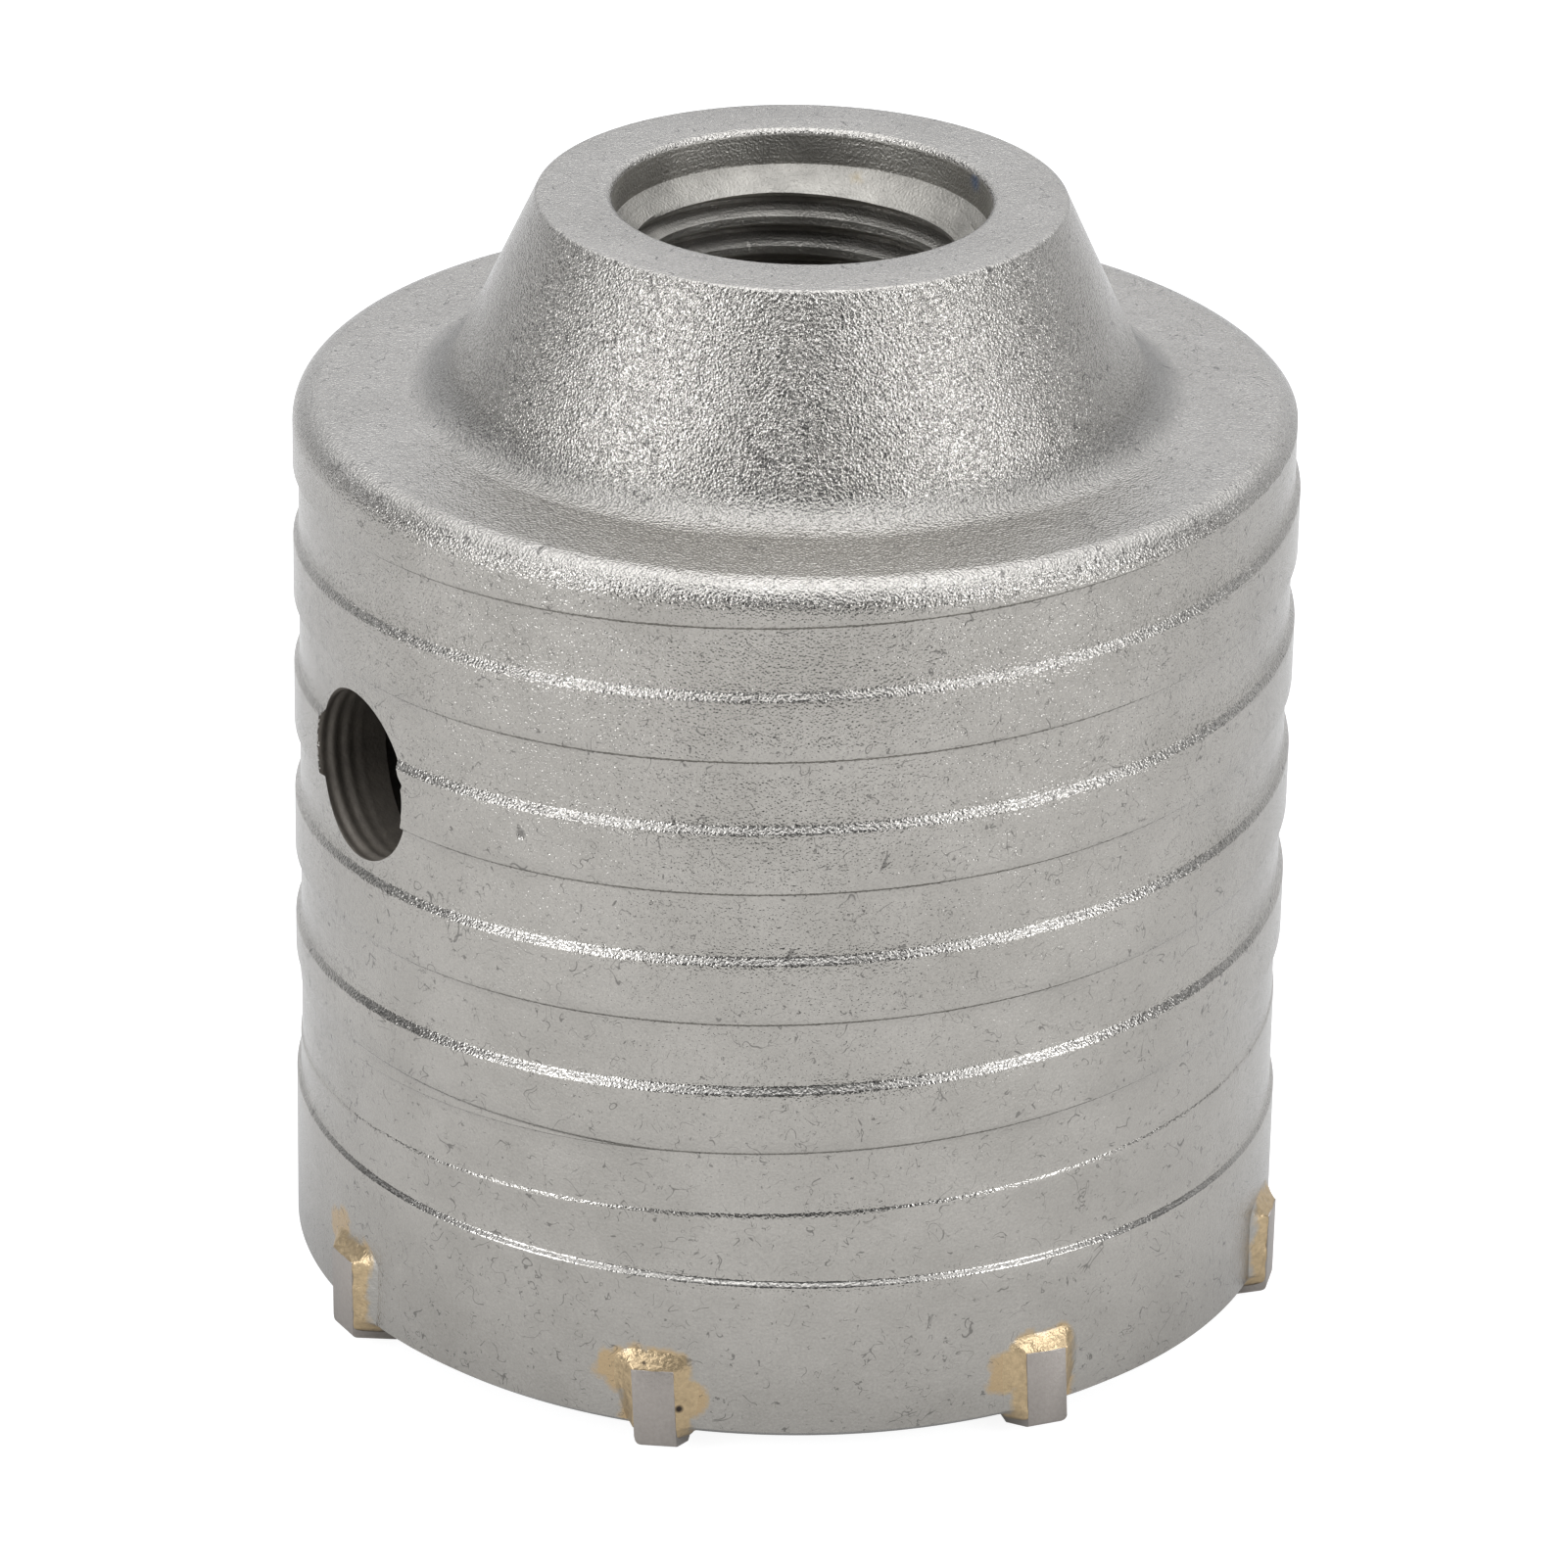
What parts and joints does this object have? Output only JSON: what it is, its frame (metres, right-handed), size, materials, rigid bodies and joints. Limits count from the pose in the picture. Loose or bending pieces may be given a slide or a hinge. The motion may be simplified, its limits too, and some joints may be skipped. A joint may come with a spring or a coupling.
{
  "type": "core drill bit",
  "caption": "Carbide tipped core drill bit: a hollow steel cup with a helical chip groove, a side hole, brazed cutting tips and a threaded hub for an arbor.",
  "frame": {"origin": "centre of the cutting plane, on the axis of the cup, where the tips touch the work", "axes": "+Z along the axis from the cutting tips to the hub face, -Y towards the camera, the side hole at 59 degrees from -Y towards -X"},
  "size_m": [0.0636, 0.0636, 0.072],
  "materials": {
    "cup_steel": "bead blasted",
    "carbide": "ground, satin",
    "braze": "blasted, dull"
  },
  "bodies": {
    "root": {"cup_body": "cup_steel", "carbide_tip_1": "carbide", "carbide_tip_2": "carbide", "carbide_tip_3": "carbide", "carbide_tip_4": "carbide", "carbide_tip_5": "carbide", "carbide_tip_6": "carbide", "carbide_tip_7": "carbide", "carbide_tip_8": "carbide", "braze_joint_1": "braze", "braze_joint_2": "braze", "braze_joint_3": "braze", "braze_joint_4": "braze", "braze_joint_5": "braze", "braze_joint_6": "braze", "braze_joint_7": "braze", "braze_joint_8": "braze"}
  },
  "joints": []
}
